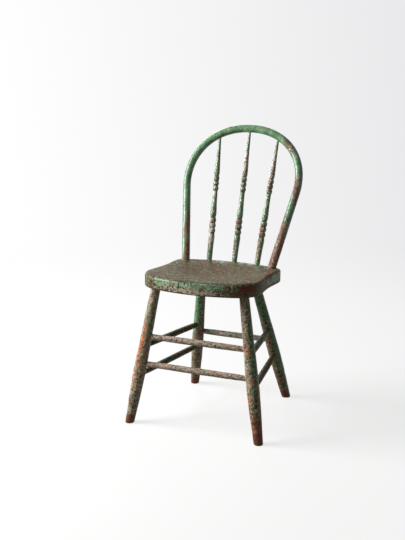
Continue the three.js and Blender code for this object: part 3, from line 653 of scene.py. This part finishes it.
# Darker than the rest: mossy green with painted shade, for faces turned from the window.
mossy_and_shaded = dict(wear=0.42, wood=("#35281E", "#5A4937", "#7D6B55"),
             paint=("#182F12", "#294A22", "#47693E"),
             pits_and_shade=0.1, cream_and_highlight=-0.2, gloss=0.5, shine=0.1)
dusty = pinkish | dict(wear=0.6, cream_and_highlight=0.07, wood=("#55483B", "#94897A", "#C2BAAA"))
end_in, neck_in = 5, 18                        # from the middle of the leg that holds it
end_radius, neck_radius, swell_radius, full_radius = 8.2, 8.3, 9.1, 9.5
swell_share = 0.22                             # of its length, from either end
for name, ends, look in (
        ("front_upper", (("front", "left", 267), ("front", "right", 267)), pinkish),
        ("front_lower", (("front", "left", 184), ("front", "right", 184)), pinkish),
        ("left_upper", (("front", "left", 238), ("rear", "left", 229.5)), mossy_and_shaded),
        ("left_lower", (("front", "left", 149), ("rear", "left", 146.5)), mossy_and_shaded),
        ("right_upper", (("front", "right", 251.5), ("rear", "right", 235.5)), mossy_and_shaded),
        ("right_lower", (("front", "right", 156), ("rear", "right", 153)), mossy_and_shaded | dict(wear=0.7)),
        ("rear_upper", (("rear", "left", 204), ("rear", "right", 204)), dusty)):
    points = []
    for row, word, height in ends:  # the height over the floor at which it meets the leg's axis
        leg_frame = leg_frames[row, word]
        axis = leg_frame.to_3x3().col[2]
        points.append(leg_frame.to_translation() + axis * (height * MM / axis.z))
    own = own_frame(points[0], points[1], Vector((0, 0, 1)))
    length = (points[1] - points[0]).length / MM
    form = smooth_profile([(end_in, end_radius), (neck_in, neck_radius),
                           (swell_share * length, swell_radius), (length / 2, full_radius),
                           ((1 - swell_share) * length, swell_radius),
                           (length - neck_in, neck_radius), (length - end_in, end_radius)], 5)
    rod = turned("stretcher_" + name + "_rod", form, 24, 0.5)
    rod.data.transform(own)
    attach(rod, "root")
    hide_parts("stretcher_" + name)
    rod.data.materials.append(worn_paint(
        name + "_stretcher", own, shift=len(name) * 1.7 + length * 0.013,
        patch=11, fine=6, fleck=4.5, **look))


# Bow: a straight stick of hickory or elm, turned round, steamed and bent to an
# arch. Its two ends pass through the seat and are wedged from underneath.

bow_lean = math.radians(24.7)  # back from upright
overall_height, bow_half = 860, 12.25
arch_half, arch_rise, square = 184.5, 170.8, 2.13  # the upper part is a slightly square ellipse
foot_x, foot_from_rear = 142, 29
seat_through = 53              # how far the ends go in, before they are sawn off below
foot_y = rear_edge_at(foot_x) - foot_from_rear
foot_on_seat = on_seat(foot_x, foot_y, -seat_hollow(foot_x, foot_y))
arch_top = (overall_height - bow_half - foot_on_seat.z / MM) / math.cos(bow_lean)
arch_wide = arch_top - arch_rise
bow_frame = (Matrix.Translation((0, foot_on_seat.y, foot_on_seat.z))
             @ Matrix.Rotation(math.pi / 2 - bow_lean, 4, "X"))
bow_upright = bow_frame @ Matrix.Rotation(-math.pi / 2, 4, "X")  # X right, Y back, Z up the bow


def arch_point(turn):
    """A point of the bow's centre line in its own plane, in mm."""
    power = 2 / square if turn > 0 else 1
    return (arch_half * math.cos(turn) ** power,
            arch_wide + arch_rise * math.copysign(abs(math.sin(turn)) ** power, turn))


def arch_height(x):
    """Height of the centre line up the bow's plane, over the arch's widest place."""
    return arch_wide + arch_rise * (1 - abs(x / arch_half) ** square) ** (1 / square)


# The straight lower part runs from the foot to where it touches the ellipse.
across, down = foot_x / arch_half, -arch_wide / arch_rise
join = math.atan2(down, across) + math.acos(1 / math.hypot(across, down))
join_x, join_y = arch_point(join)
slope = Vector((join_x - foot_x, join_y)).normalized()
arch_steps = 34
half_line = [(foot_x - slope.x * d, -slope.y * d) for d in (seat_through, 30, 12, 0)]
half_line += [(foot_x + (join_x - foot_x) * t, join_y * t)
              for t in (0.12, 0.25, 0.4, 0.55, 0.7, 0.85)]
half_line += [arch_point(join + (math.pi / 2 - join) * i / arch_steps)
              for i in range(arch_steps)]
line = [(-x, y) for x, y in half_line] + [(0.0, arch_top)] + list(reversed(half_line))


def bow_radius(y):
    """The bow is thicker at the seat than over the arch, and tapers where it goes through."""
    at_seat, thinner, thinned_at = 12.9, 0.9, 260
    tapered_from, taper = 12.6, 0.055
    if y < 0:
        return tapered_from + y * taper
    return at_seat - thinner * min(1, y / thinned_at)


bpy.ops.curve.primitive_nurbs_path_add()
bow = bpy.context.object
bow.name = "bent_bow"
bow.data.splines.clear()
spline = bow.data.splines.new("POLY")
spline.points.add(len(line) - 1)
for point, (x, y) in zip(spline.points, line):
    point.co = (x * MM, y * MM, 0, 1)
    point.radius = bow_radius(y)
bow.data.dimensions = "3D"
bow.data.bevel_depth = MM
bow.data.bevel_resolution = 8
bow.data.use_fill_caps = True
bpy.ops.object.convert(target="MESH")
bow = bpy.context.object
bow.matrix_world = Matrix.Identity(4)
bow.data.transform(bow_frame)
bpy.ops.object.mode_set(mode="EDIT")
bpy.ops.mesh.select_all(action="SELECT")
bpy.ops.mesh.remove_doubles(threshold=1e-6)
underside = on_seat(0, 0, -seat_thick - 0.6)  # the ends are sawn off just proud of the seat
bpy.ops.mesh.bisect(plane_co=underside, plane_no=seat_frame.to_3x3().col[2],
                    use_fill=True, clear_inner=True)
bpy.ops.mesh.select_all(action="SELECT")
bpy.ops.mesh.normals_make_consistent(inside=False)
bpy.ops.object.mode_set(mode="OBJECT")
bpy.ops.object.shade_smooth_by_angle(angle=math.radians(40))
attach(bow, "root")
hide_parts("back_bow")
back_wood = ("#4C2F21", "#835C47", "#B79B86")   # redder than the seat and the legs
back_paint = ("#38693E", "#5A8D5E", "#8BB38D")
# The bow's paint has held best: it is a fresher green with more gloss, and brown wood shows only
# where hands and the seat have rubbed it.
bow.data.materials.append(worn_paint(
    "bow", bow_upright, shift=21.0, wear=0.14, stretch=3.0, patch=20, fine=8, fleck=5.0,
    gloss=0.24, shine=0.5, paint=back_paint, wood=back_wood, undercoat_and_highlight="#CFCABB",
    rust=-0.3, cream_and_highlight=-0.3, pits_and_shade=-0.25, green=-0.3,
    spots=(("wear", (148, 0, 45), (44, 40, 185), 0.30),      # brown from the seat up on the right
           ("cream_and_highlight", (150, -12, 70), (20, 12, 130), 0.1),
           ("rust", (150, -8, 60), (40, 14, 150), 0.06),
           ("wear", (-139, -11, 25), (13, 14, 80), 0.38),    # and down the middle of the left
           ("wear", (-153, -11, 125), (12, 14, 80), 0.34),
           ("wear", (-66, -13, 438), (16, 14, 9), 0.24),     # chips over the arch
           ("wear", (-30, -12, 446), (14, 14, 8), 0.16),
           ("wear", (60, -12, 440), (30, 14, 14), 0.14),
           ("wear", (140, -12, 388), (60, 14, 70), 0.1),     # rubbed grey at the right shoulder
           ("cream_and_highlight", (158, -12, 370), (40, 12, 70), 0.12),
           ("wear", (184, -8, 235), (16, 14, 110), 0.17),
           ("pits_and_shade", (-127, 6, 30), (9, 14, 90), 0.22),       # painted shade on the left's inner side, turned from the window
           ("pits_and_shade", (-143, 6, 140), (9, 14, 90), 0.22),
           ("pits_and_shade", (-162, 6, 250), (9, 14, 90), 0.18),
           ("pits_and_shade", (175, -8, 200), (30, 14, 200), 0.05),
           ("rust", (178, -12, 286), (10, 10, 24), 0.2))))


# Spindles: three turned alike from the same set-out, with two groups of beads.
# The foot is glued into the seat and the thin tip into a hole in the bow.

bead_count, bead_steps = 3, 10


def bead_stations(centre, pitch, crest, groove):
    """Three beads side by side, each a full round between two tight grooves. pitch is the height
    of a bead, and crest and groove are diameters, in mm."""
    points = []
    for i in range(1, bead_count * bead_steps):
        swell = abs(math.sin(math.pi * i / bead_steps)) ** 0.8
        points.append((centre + (i / bead_steps - bead_count / 2) * pitch,
                       (groove + (crest - groove) * swell) / 2))
    return points


spindle_apart, tips_apart = 80, 97.5  # from one to the next, on the seat and in the bow
from_rear = 13.8                      # how far the feet stand in from the seat's rear edge


def spindle_ends(column):
    """Where a spindle stands on the seat and where its tip meets the bow's middle."""
    x, top_x = column * spindle_apart, column * tips_apart
    y = rear_edge_at(x) - from_rear
    foot = on_seat(x, y, -seat_hollow(x, y))
    return foot, bow_frame @ (Vector((top_x, arch_height(top_x), 0)) * MM)


side_foot, side_top = spindle_ends(1)
set_out = (side_top - side_foot).length / MM - bow_half
lower, upper = 0.283 * set_out, 0.627 * set_out  # heights of the middles of the bead groups
lower_pitch, lower_crest, lower_groove = 16.7, 21.6, 16
upper_pitch, upper_crest, upper_groove = 15.5, 18.6, 13.6
lower_half = bead_count * lower_pitch / 2
upper_half = bead_count * upper_pitch / 2
lower_nick, upper_nick = 8.1, 6.9                # radii of the nicks beside the beads


def spindle_form(length):
    """(height, radius) from the foot in the seat to the tip in the bow: a swelling, beads, a second
    swelling that thins to a waist, smaller beads, and a long thin neck."""
    surface = length - bow_half
    waist_up = lower + lower_half + 0.56 * (upper - upper_half - lower - lower_half)
    form = [(-14, 7.6)]
    form += smooth_profile([(0, 8.2), (0.45 * lower, 9.1), (lower - lower_half - 9.95, 10.0),
                            (lower - lower_half, lower_nick)], 5)[:-1]
    form += bead_stations(lower, lower_pitch, lower_crest, lower_groove)
    form += smooth_profile([(lower + lower_half, lower_nick), (lower + lower_half + 13.95, 9.8),
                            (waist_up, 8.0), (upper - upper_half, upper_nick)], 6)[:-1]
    form += bead_stations(upper, upper_pitch, upper_crest, upper_groove)
    form += smooth_profile([(upper + upper_half, upper_nick), (upper + upper_half + 14, 8.8),
                            ((upper + upper_half + surface) / 2, 6.3), (surface, 4.0)], 7)
    return form + [(length, 3.9)]


# The spindles' paint is the bow's, but more of its pale undercoat shows, on and near the beads.
spindle_spots = {
    "left": [("cream_and_highlight", (0, -8, lower - 40), (20, 20, 44), 0.18),  # rubbed pale below the beads
             ("cream_and_highlight", (0, -8, lower), (20, 20, 34), 0.12),
             ("wear", (0, -8, lower - 45), (20, 20, 45), 0.12),
             ("cream_and_highlight", (0, -8, 215), (6, 10, 60), 0.1)],
    "centre": [("cream_and_highlight", (0, -8, upper + 70), (20, 20, 60), 0.1),
               ("wear", (-6, -8, 40), (8, 12, 60), 0.14),
               ("wear", (0, -8, upper + 60), (20, 20, 50), 0.1)],
    "right": [("cream_and_highlight", (0, -8, upper + 60), (20, 20, 90), 0.14),
              ("wear", (0, -8, upper + 60), (20, 20, 80), 0.14),
              ("wear", (-6, -8, 60), (8, 12, 90), 0.12)]}
bead_wear_and_groove_shade = [("wear", (0, 0, middle), (30, 30, 34), 0.08) for middle in (lower, upper)]
bead_wear_and_groove_shade += [("pits_and_shade", (0, 0, middle + (i - bead_count / 2) * pitch), (30, 30, 3.6), 0.17)
              for middle, pitch in ((lower, lower_pitch), (upper, upper_pitch))
              for i in range(bead_count + 1)]  # painted shade in the grooves between the beads
blanks = {}
for column in (0, 1):  # the side two are alike, and the centre one is a little longer
    foot, top = spindle_ends(column)
    blanks[column] = turned("spindle_blank", spindle_form((top - foot).length / MM), 28)
for word, column in (("left", -1), ("centre", 0), ("right", 1)):
    foot, top = spindle_ends(column)
    own = own_frame(foot, top, Vector((0, 1, 0)))
    spindle = placed(blanks[abs(column)], "turned_spindle_" + word, own)
    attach(spindle, "root")
    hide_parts("spindle_" + word)
    spindle.data.materials.append(worn_paint(
        word + "_spindle", own, shift=31.0 + 4 * column, wear=0.32, stretch=2.2, patch=12,
        fine=6, fleck=4.2, gloss=0.22, shine=0.5, paint=back_paint, wood=back_wood,
        undercoat_and_highlight="#E0DCD0", cream_and_highlight=0.2, rust=-0.1, pits_and_shade=-0.05,
        spots=bead_wear_and_groove_shade + spindle_spots[word]))
put_away(*blanks.values())


# Wedges: thin tapers of bare hard wood, driven into the sawn ends of the bow from
# below to spread them in the seat, then cut off level and left unpainted.

def end_grain(name, own):
    """Bare hard wood, riven and sawn across: grey-brown and quite matt, with open fibres. They
    are drawn 1.2 mm wide, because real ones are too fine to show."""
    material, tree = new_tree(name)
    object_place = add(tree, "ShaderNodeTexCoord").outputs["Object"]
    place = add(tree, "ShaderNodeMapping", {"vector_type": "TEXTURE"},
                {"Vector": object_place, "Location": own.to_translation(),
                 "Rotation": own.to_euler()}).outputs[0]
    fibres = mottle(tree, place, 1.2, 8, 4, 0.65)
    tint = clouded(tree, fibres, 0.35, 0.65, ("#4E3724", "#8A6A45", "#A98A62"))
    relief = add(tree, "ShaderNodeBump", None,
                 {"Height": fibres, "Strength": 0.5, "Distance": 0.6 * MM})
    surface = add(tree, "ShaderNodeBsdfPrincipled", None,
                  {"Base Color": tint, "Roughness": 0.75, "Normal": relief.outputs[0]})
    add(tree, "ShaderNodeOutputMaterial", None, {"Surface": surface.outputs[0]})
    return material


wedge_wide, wedge_thick, wedge_long = 15.4, 3.4, 20
wedge_up = 0.6                     # its wide end starts this far up its own axis
tip_narrower, tip_thinner = 0.96, 0.3
wedge_to_end = 11                  # from the node's middle down to the start of that axis
bpy.ops.object.select_all(action="DESELECT")
bpy.ops.mesh.primitive_cube_add(size=1, location=(0, 0, 0))
blank = bpy.context.object
blank.name = "wedge_blank"
blank.data.transform(Matrix.Diagonal((wedge_wide * MM, wedge_thick * MM, wedge_long * MM, 1)))
blank.data.transform(Matrix.Translation((0, 0, (wedge_long / 2 + wedge_up) * MM)))
blank.data.polygons.foreach_set("select", [face.center.z > wedge_long * MM
                                           for face in blank.data.polygons])
bpy.ops.object.mode_set(mode="EDIT")
bpy.ops.mesh.select_mode(type="FACE")
bpy.ops.transform.resize(value=(tip_narrower, tip_thinner, 1),
                         center_override=(0, 0, wedge_long * MM))
bpy.ops.mesh.select_all(action="SELECT")
bpy.ops.mesh.bevel(offset=0.4 * MM, segments=2, affect="EDGES")
bpy.ops.object.mode_set(mode="OBJECT")
for word, side in (("left", -1), ("right", 1)):
    low, high = (Vector(corner_at) for corner_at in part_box("bow_wedge_" + word))
    middle = (low + high) / 2
    up = (bow_frame.to_3x3() @ Vector((slope.x * side, slope.y, 0))).normalized()
    own = own_frame(middle - up * wedge_to_end * MM, middle + up * wedge_to_end * MM,
                    Vector((0, 1, 0)))
    wedge = placed(blank, "split_wedge_" + word, own)
    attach(wedge, "root")
    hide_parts("bow_wedge_" + word)
    wedge.data.materials.append(end_grain("bare_wedge_wood_" + word, own))
put_away(blank)


# Brads: small iron nails, driven through the back of the bow into the spindles'
# tips to hold them. Rust has lifted the paint off their hammered heads.

# Cut iron, hammered home: dull and rough, brown where it has rusted, with rags of
# the green paint left on it. Its bloom of rust is 1.6 mm across.
material, tree = new_tree("rusty_brad_iron")
place = add(tree, "ShaderNodeTexCoord").outputs["Object"]
bloom = mottle(tree, place, 1.6, 1, 4, 0.7)
tint = clouded(tree, bloom, 0.36, 0.64, ("#2A1A12", "#5A3420", "#8A4E2A"))
rags = mottle(tree, place, 2.2, 1, 3, 0.6, 4.0)
tint, _ = covered(tree, tint, "#4C8357", rags, 0.0, 0.56, 0.6)
relief = add(tree, "ShaderNodeBump", None,
             {"Height": bloom, "Strength": 0.7, "Distance": 0.4 * MM})
surface = add(tree, "ShaderNodeBsdfPrincipled", None,
              {"Base Color": tint, "Roughness": 0.7, "Metallic": 0.25,
               "Normal": relief.outputs[0]})
add(tree, "ShaderNodeOutputMaterial", None, {"Surface": surface.outputs[0]})
brad_iron = material

head_back = 9.1  # from the node's middle back to the head, which stands just proud of the bow
inward = bow_frame.to_3x3().col[2]  # the way the brads were driven
# A low domed head, a shank and a blunt point, from the head on.
blank = turned("brad_blank", [(0.0, 0.9), (0.12, 1.5), (0.4, 1.85), (0.75, 1.95), (1.0, 1.6),
                              (1.05, 0.95), (6.0, 0.95), (14.6, 0.9), (16.6, 0.35)], 16)
for word in ("left", "centre", "right"):
    low, high = (Vector(corner_at) for corner_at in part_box("brad_" + word))
    head_at = (low + high) / 2 - inward * head_back * MM
    own = own_frame(head_at, head_at + inward, Vector((1, 0, 0)))
    brad = placed(blank, "hammered_brad_" + word, own)
    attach(brad, "root")
    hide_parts("brad_" + word)
    brad.data.materials.append(brad_iron)
put_away(blank)
